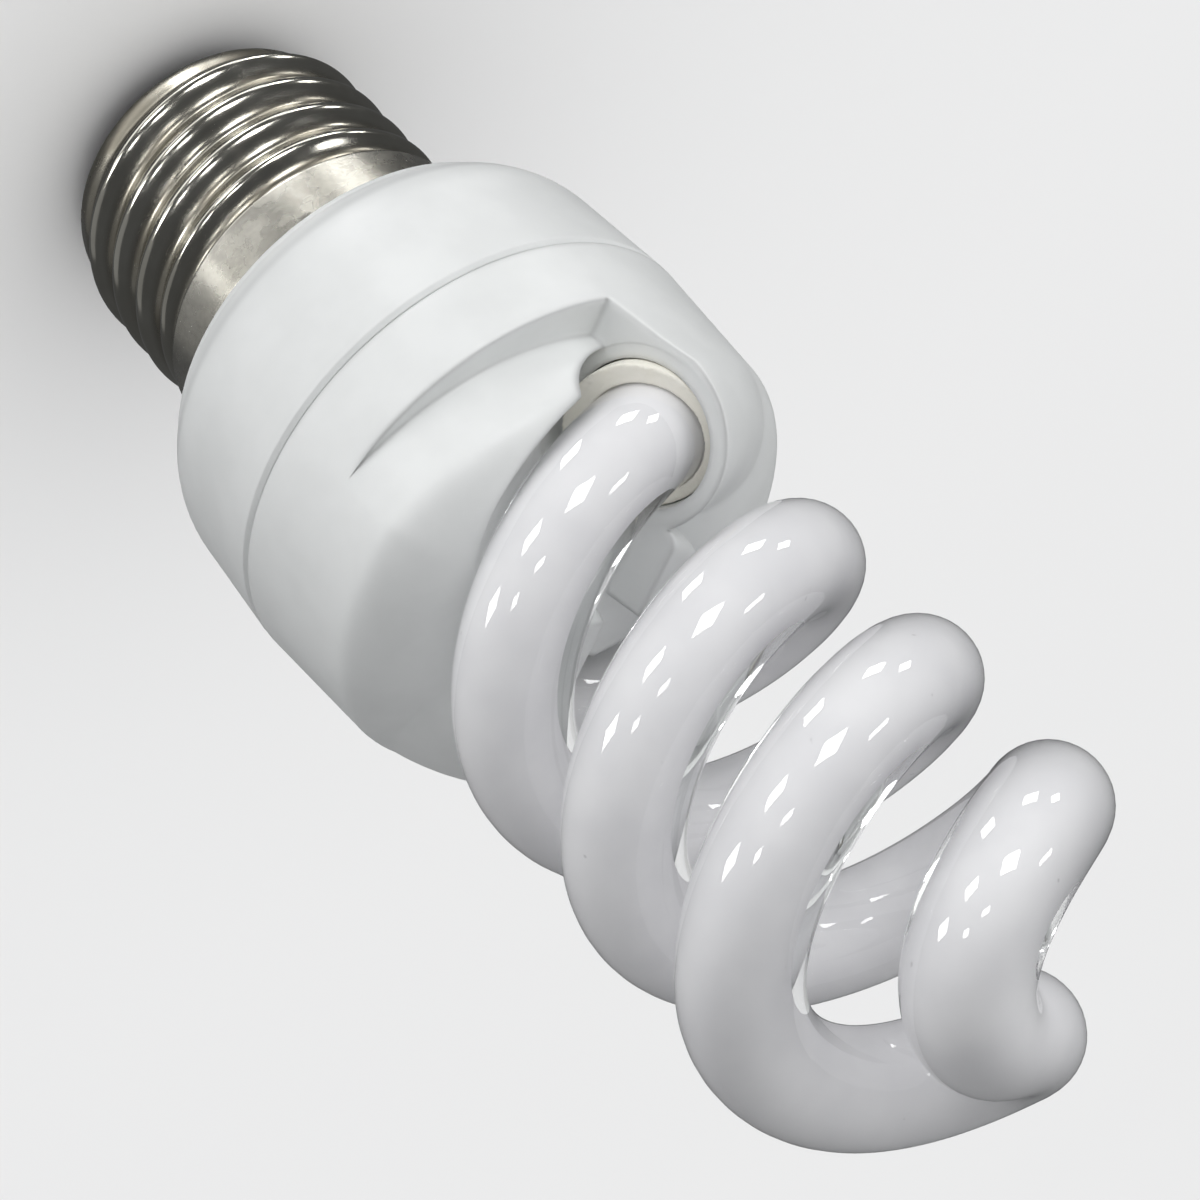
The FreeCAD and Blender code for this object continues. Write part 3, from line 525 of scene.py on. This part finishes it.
def bump(tree, shader, height, strength, depth, edge=0.0):
    """Relief of the given height; edges are shaded as round over the given width in mm."""
    node = add_node(tree, "ShaderNodeBump", {"Strength": strength, "Distance": depth * MM})
    feed(tree, node.inputs["Height"], height)
    if edge:
        soft = add_node(tree, "ShaderNodeBevel", {"Radius": edge * MM}, samples=EDGE_SAMPLES)
        feed(tree, node.inputs["Normal"], soft.outputs[0])
    feed(tree, shader.inputs["Normal"], node.outputs[0])


def white_plastic(name, edge, painted_shade_level, painted_shade_width, painted_shade_depth):
    """Cool white satin moulding with a fine spark texture, rounded edges and a grey band of painted shade
    round it, where shade falls in a crease or seam.
    """
    finish, tree, shader, place = new_finish(name)
    cloud = noise(tree, place, 6.0)
    fine = noise(tree, place, 0.22, 2.0)
    shade = cloud.smooth(0.35, 0.65)
    white = blend(tree, shade, (0.79, 0.805, 0.80), (0.83, 0.845, 0.84))
    parts = add_node(tree, "ShaderNodeSeparateXYZ", {"Vector": place})
    # Painted shade: a grey band round the moulding at the given level, standing in for the shade in a crease
    # or seam there
    beside = (Wire(tree, parts.outputs["Z"]) / MM - painted_shade_level).size()
    line = (1.0 - beside.smooth(0.0, painted_shade_width)) * painted_shade_depth
    feed(tree, shader.inputs["Base Color"], blend(tree, line, white, (0.55, 0.56, 0.56)))
    feed(tree, shader.inputs["Roughness"], 0.40 + 0.12 * fine)
    shader.inputs["IOR"].default_value = 1.5
    bump(tree, shader, fine, 0.12, 0.03, edge)
    return finish


def coating_white(name):
    """White powder coating inside the glass, slightly mottled, with a few grey specks."""
    finish, tree, shader, place = new_finish(name)
    cloud = noise(tree, place, 5.0, 4.0)
    fleck = noise(tree, place, 0.9, 1.0)
    shade = cloud.smooth(0.3, 0.7)
    colour = blend(tree, shade, (0.82, 0.815, 0.835), (0.88, 0.875, 0.89))
    speck = fleck.smooth(0.79, 0.83) * 0.4
    feed(tree, shader.inputs["Base Color"], blend(tree, speck, colour, (0.45, 0.44, 0.45)))
    shader.inputs["Roughness"].default_value = 0.9
    shader.inputs["Specular IOR Level"].default_value = 0.0
    return finish


def clear_glass(name):
    """Clear glass with a slight wave in its face."""
    finish, tree, shader, place = new_finish(name)
    wave = noise(tree, place, 7.0, 1.0)
    shader.inputs["Base Color"].default_value = (0.97, 0.98, 0.975, 1.0)
    shader.inputs["Transmission Weight"].default_value = 1.0
    shader.inputs["Roughness"].default_value = 0.0
    shader.inputs["IOR"].default_value = 1.5
    bump(tree, shader, wave, 0.03, 0.3)
    return finish


def nickel_plate(name):
    """Tinted bright plate with rolling marks round it, scuffs, and a patchy dark brown in the thread's roots.
    """
    finish, tree, shader, place = new_finish(name)
    parts = add_node(tree, "ShaderNodeSeparateXYZ", {"Vector": place})
    across = Wire(tree, parts.outputs["X"])
    back = Wire(tree, parts.outputs["Y"])
    radius = (across * across + back * back).root() / MM
    skirt = (Wire(tree, parts.outputs["Z"]) / MM).smooth(SKIRT_LEVEL - SKIRT_FLARE, SKIRT_LEVEL)
    marks = noise(tree, place, 2.4, 3.0, (0.5, 0.5, 14.0))
    scuff = noise(tree, place, 1.6, 5.0)
    cloud = noise(tree, place, 5.0, 3.0)
    fleck = noise(tree, place, 0.45, 3.0).smooth(0.35, 0.7)
    # Darker brown and rougher in the thread's roots, in patches
    inward = 1.0 - radius.smooth(SHELL_ROOT, SHELL_ROOT + THREAD_ROOT_DARK_REACH)
    root_dark = inward * (0.35 + 0.65 * cloud.smooth(0.3, 0.65))
    plate = blend(tree, cloud.smooth(0.3, 0.7), (0.46, 0.445, 0.39), (0.54, 0.525, 0.47))
    dulled = blend(tree, fleck * skirt * 0.25, plate, (0.30, 0.275, 0.25))
    feed(tree, shader.inputs["Base Color"], blend(tree, root_dark * 0.75, dulled, (0.16, 0.14, 0.10)))
    shader.inputs["Metallic"].default_value = 1.0
    worn = 0.06 * scuff.smooth(0.45, 0.75)
    feed(tree, shader.inputs["Roughness"], 0.15 + 0.11 * skirt + worn + 0.15 * root_dark)
    bump(tree, shader, marks + 0.3 * scuff, 0.05, 0.04)
    return finish


def cream_cement(name):
    """Matt cream cement with a coarse grain."""
    finish, tree, shader, place = new_finish(name)
    cloud = noise(tree, place, 1.5, 4.0)
    grain = noise(tree, place, 0.35, 3.0)
    feed(tree, shader.inputs["Base Color"], blend(tree, cloud, (0.90, 0.875, 0.77), (0.95, 0.93, 0.86)))
    shader.inputs["Roughness"].default_value = 0.85
    bump(tree, shader, grain, 0.4, 0.15)
    return finish


def plain_finish(name, dark, light, rough, grain, metal=0.0):
    """Finish of a hidden piece: two close colours mixed by a grain, with a bump of the same grain."""
    finish, tree, shader, place = new_finish(name)
    cloud = noise(tree, place, grain, 3.0)
    feed(tree, shader.inputs["Base Color"], blend(tree, cloud, dark, light))
    feed(tree, shader.inputs["Roughness"], rough + 0.15 * cloud)
    shader.inputs["Metallic"].default_value = metal
    bump(tree, shader, cloud, 0.15, 0.05)
    return finish


FINISHES = {
    "cap_metal": nickel_plate("nickel_plate"),
    # Painted shade lines: on the housing inside its rim bead, on the cover along its seam
    "housing_plastic": white_plastic("housing_white", 0.25, 29.3, 0.9, 0.38),
    "cover_plastic": white_plastic("cover_white", 0.85, 40.55, 0.4, 0.9),
    "tube_glass": clear_glass("clear_glass"),
    "cement": cream_cement("cream_cement"),
    "contact_metal": plain_finish("tinned_contact", (0.50, 0.48, 0.45), (0.66, 0.64, 0.60), 0.25, 0.8, 1.0),
    "cap_glass": plain_finish("black_glass", (0.008, 0.008, 0.010), (0.02, 0.02, 0.022), 0.08, 2.0),
    "board": plain_finish("tan_board", (0.50, 0.38, 0.20), (0.60, 0.47, 0.26), 0.55, 0.4),
    "can_sleeve": plain_finish("dark_sleeve", (0.012, 0.015, 0.03), (0.02, 0.025, 0.05), 0.25, 1.5),
    "ferrite": plain_finish("grey_ferrite", (0.04, 0.04, 0.042), (0.08, 0.08, 0.085), 0.55, 0.3),
    "copper_wire": plain_finish("enamelled_copper", (0.42, 0.14, 0.06), (0.60, 0.24, 0.10), 0.25, 0.3, 1.0),
    "black_moulding": plain_finish("black_moulding", (0.012, 0.012, 0.012), (0.025, 0.025, 0.025), 0.5, 0.25),
    "film_coat": plain_finish("brown_dip", (0.30, 0.06, 0.025), (0.38, 0.09, 0.035), 0.25, 1.0),
    "resistor_coat": plain_finish("blue_lacquer", (0.22, 0.38, 0.42), (0.28, 0.45, 0.50), 0.3, 0.6),
    "tinned_wire": plain_finish("tinned_wire", (0.55, 0.55, 0.55), (0.70, 0.70, 0.70), 0.3, 0.4, 1.0),
    "live_sleeve": plain_finish("red_sleeve", (0.40, 0.02, 0.015), (0.50, 0.03, 0.02), 0.4, 0.8),
    "neutral_sleeve": plain_finish("blue_sleeve", (0.015, 0.03, 0.18), (0.02, 0.04, 0.25), 0.4, 0.8),
}
COATING = coating_white("coating_white")


# The lamp's pieces
def dress_nodes():
    """Gives every solid the finish of its slot in the record."""
    for entry in frame["record"]["subparts"]:
        solid = frame["nodes"][entry["node"]].data
        solid.materials.clear()
        solid.materials.append(FINISHES[entry["material_slot"]])


def put_on(piece, node):
    """Fixes the piece to the lamp, in the place of the node if there is one."""
    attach(piece, BODY)
    if node:
        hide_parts(node)


def make_glass():
    tree = spiral_tree("spiral_tube", TUBE_RINGS, TUBE_SIDES)
    wall = {**SPIRAL, **MOUTH, "Bar radius": GLASS_RADIUS, "Mouth growth": 0.0, "Shift outward": 0.0}
    glass = grown("glass_wall", tree, wall, FINISHES["tube_glass"])
    glass.visible_shadow = False
    glass.visible_diffuse = False
    lining = {**wall, "Bar radius": COATING_RADIUS, "Shift outward": COATING_SHIFT}
    coating = grown("glass_coating", tree, lining, COATING)
    put_on(glass, "spiral_tube")
    put_on(coating, None)


def make_cap():
    start = turned("cap_section", shell_outline(), SHELL_SIDES)
    shell = grown("rolled_shell", rolled_thread_tree(), {**THREAD, **CRIMPS}, FINISHES["cap_metal"], start)
    put_on(shell, "cap_shell")
    return shell


def make_housing():
    housing = smooth_copy("lower_housing", "housing_bowl", FINISHES["housing_plastic"])
    put_on(housing, "lower_housing")
    tree = spiral_tree("tube_room", EXIT_ROOM_RINGS, EXIT_ROOM_SIDES)
    room = {**SPIRAL, **MOUTH, "Bar radius": EXIT_ROOM_RADIUS, "Shift outward": 0.0}
    room["Mouth growth"] = EXIT_ROOM_GROWTH
    room["First band level"] -= EXIT_ROOM_DROP
    cutter = grown("tube_room", tree, room, FINISHES["cover_plastic"])
    cover = smooth_copy("upper_cover", "housing_cover", FINISHES["cover_plastic"], cutter)
    bpy.data.objects.remove(cutter)
    put_on(cover, "upper_cover")


def make_cement():
    for side, turn in (("front", 0.0), ("rear", math.pi)):
        about = Matrix.Rotation(turn, 3, "Z")
        ways = (about @ CEMENT_WAY, about @ CEMENT_HIGH_SIDE)
        collar = softened_copy(side + "_cement", side + "_collar", FINISHES["cement"], *ways)
        put_on(collar, side + "_cement")


# Studio
CAMERA_PLACE = Vector((0.171, -142.177, 139.521)) * MM
CAMERA_RIGHT = Vector((-0.73534, 0.34486, 0.58339))
CAMERA_DOWN = Vector((0.67770, 0.37420, 0.63301))
CAMERA_CLIP = 5.0
LENS = 72.43
SENSOR = 36.0
LAMP_CENTRE = Vector((0, 0, 70)) * MM
# Lights stand this many metres from the lamp's centre
LIGHT_REACH = 1.5
SOFT_SIDE = 1.6
# Soft boxes, each with its way and its glow
SOFT_LIGHTS = {
    "low_box": ((0.035, -0.862, -0.476), 1.52),
    "side_box": ((0.735, -0.388, -0.558), 0.95),
    "high_box": ((-0.848, -0.448, 0.225), 1.72),
    "front_box": ((0.0, -0.861, 0.509), 0.85),
    "back_box": ((-0.735, 0.302, 0.608), 0.68),
    "rear_box": ((0.35, 0.90, 0.25), 1.1),
}
STUDIO_TINT = (0.95, 0.97, 1.0, 1.0)
STUDIO_GLOW = 0.10
FLOOR_LIGHT = 2.9
FLOOR_LIGHT_SPREAD = 100.0
BACKDROP_GLOW = 0.83
STAGE_REACH = 4.0
FLOOR_GRAIN = 400.0
BACKDROP_SIDES = 48
# Panels for the cap's shell alone: way, width and height for each metre of reach, roll in degrees, and glow
CAP_PANELS = (
    ((-0.15, -0.45, -0.88), 1.30, 0.34, 0.0, 1.7),
    ((-0.15, -0.70, -0.69), 1.00, 0.50, 0.0, 0.20),
    ((0.80, -0.25, -0.45), 0.80, 1.00, 0.0, 0.20),
    ((-0.66, -0.32, -0.67), 0.20, 0.50, 0.0, 1.7),
    ((0.51, -0.55, -0.67), 0.07, 0.40, 0.0, 3.0),
)
# Panels that the glass mirrors: way, width, height and roll as above
PANELS = (
    ((-0.81, -0.22, -0.53), 0.22, 0.15, 128.0),
    ((-0.98, -0.02, -0.20), 0.14, 0.11, 159.0),
    ((-0.34, -0.43, -0.84), 0.18, 0.22, 157.0),
    ((-0.58, -0.80, 0.04), 0.33, 0.25, 146.0),
    ((-0.85, -0.22, 0.47), 0.22, 0.07, 15.0),
    ((0.02, -0.93, -0.36), 0.26, 0.18, 161.0),
    ((-0.07, -0.96, 0.27), 0.17, 0.08, 148.0),
    ((0.57, -0.69, -0.45), 0.24, 0.18, 155.0),
    ((0.32, -0.94, 0.13), 0.12, 0.10, 141.0),
)
PANEL_GLOW = 14.0


def area_light(name, way, width, height, roll, glow):
    """Light that faces the lamp from the given way; its width is turned by the roll out of the level."""
    light = bpy.data.lights.new(name, "AREA")
    light.shape = "RECTANGLE"
    light.size = width * LIGHT_REACH
    light.size_y = height * LIGHT_REACH
    light.energy = glow * light.size * light.size_y * math.pi
    back = Vector(way).normalized()
    level = Vector((0, 0, 1)).cross(back).normalized()
    turn = Matrix((level, back.cross(level), back)).transposed().to_4x4()
    lamp = bpy.data.objects.new(name, light)
    place = Matrix.Translation(LAMP_CENTRE + back * LIGHT_REACH)
    lamp.matrix_world = place @ turn @ Matrix.Rotation(math.radians(roll), 4, "Z")
    bpy.context.scene.collection.objects.link(lamp)
    return lamp


def keep_to(lamp, piece):
    """Lets the lamp light that piece alone."""
    lit = bpy.data.collections.new(lamp.name + "_lit")
    lit.objects.link(piece)
    lamp.light_linking.receiver_collection = lit


def keep_off(lamp, piece):
    """Lets the lamp light everything but that piece."""
    keep_to(lamp, piece)
    unlit = lamp.light_linking.receiver_collection.collection_objects[0]
    unlit.light_linking.link_state = "EXCLUDE"


def make_lights(shell, floor):
    """Soft boxes for all but the floor, panels to be mirrored, and a light of the floor's own."""
    side = SOFT_SIDE / LIGHT_REACH
    for name, (way, glow) in SOFT_LIGHTS.items():
        lamp = area_light(name, way, side, side, 0.0, glow)
        lamp.visible_glossy = False
        keep_off(lamp, floor)
    for number, panel in enumerate(PANELS, start=1):
        area_light("panel_%d" % number, *panel, PANEL_GLOW).visible_diffuse = False
    for number, panel in enumerate(CAP_PANELS, start=1):
        keep_to(area_light("cap_panel_%d" % number, *panel), shell)
    overhead = bpy.data.lights.new("floor_light", "SUN")
    overhead.energy = FLOOR_LIGHT
    overhead.angle = math.radians(FLOOR_LIGHT_SPREAD)
    lamp = bpy.data.objects.new("floor_light", overhead)
    bpy.context.scene.collection.objects.link(lamp)
    keep_to(lamp, floor)
    world = bpy.data.worlds.new("studio")
    world.use_nodes = True
    background = world.node_tree.nodes["Background"]
    background.inputs["Color"].default_value = STUDIO_TINT
    background.inputs["Strength"].default_value = STUDIO_GLOW
    bpy.context.scene.world = world


def set_stage(piece):
    """Keeps the piece out of shadow, glossy and diffuse rays, so it neither shades, mirrors nor lights the
    lamp.
    """
    piece.visible_shadow = False
    piece.visible_glossy = False
    piece.visible_diffuse = False


def make_floor():
    finish, tree, shader, place = new_finish("pale_floor")
    cloud = noise(tree, place, FLOOR_GRAIN)
    feed(tree, shader.inputs["Base Color"], blend(tree, cloud, (0.80, 0.80, 0.80), (0.84, 0.84, 0.84)))
    shader.inputs["Roughness"].default_value = 0.9
    shader.inputs["Specular IOR Level"].default_value = 0.0
    mesh = bpy.data.meshes.new("floor")
    build = bmesh.new()
    bmesh.ops.create_grid(build, x_segments=1, y_segments=1, size=STAGE_REACH)
    build.to_mesh(mesh)
    build.free()
    floor = show("floor", mesh, finish)
    set_stage(floor)
    return floor


def make_backdrop():
    """Pale dome round the floor that only the camera sees, straight or through the glass."""
    finish, _, shader, _ = new_finish("pale_backdrop")
    shader.inputs["Base Color"].default_value = (0.0, 0.0, 0.0, 1.0)
    shader.inputs["Emission Color"].default_value = (1.0, 1.0, 1.0, 1.0)
    shader.inputs["Emission Strength"].default_value = BACKDROP_GLOW
    mesh = bpy.data.meshes.new("backdrop")
    build = bmesh.new()
    rings = BACKDROP_SIDES // 2
    bmesh.ops.create_uvsphere(build, u_segments=BACKDROP_SIDES, v_segments=rings, radius=STAGE_REACH)
    bmesh.ops.reverse_faces(build, faces=build.faces)
    build.to_mesh(mesh)
    build.free()
    set_stage(show("backdrop", mesh, finish))


def make_camera():
    """Camera at the photo's angle."""
    data = bpy.data.cameras.new("camera")
    data.lens = LENS
    data.sensor_width = SENSOR
    data.clip_start = CAMERA_CLIP * MM
    camera = bpy.data.objects.new("camera", data)
    back = CAMERA_RIGHT.cross(-CAMERA_DOWN).normalized()
    turn = Matrix((CAMERA_RIGHT, -CAMERA_DOWN, back)).transposed()
    camera.matrix_world = Matrix.Translation(CAMERA_PLACE) @ turn.to_4x4()
    bpy.context.scene.collection.objects.link(camera)
    bpy.context.scene.camera = camera


dress_nodes()
make_glass()
make_housing()
make_cement()
make_lights(make_cap(), make_floor())
make_backdrop()
make_camera()
bpy.context.scene.view_settings.view_transform = "Standard"
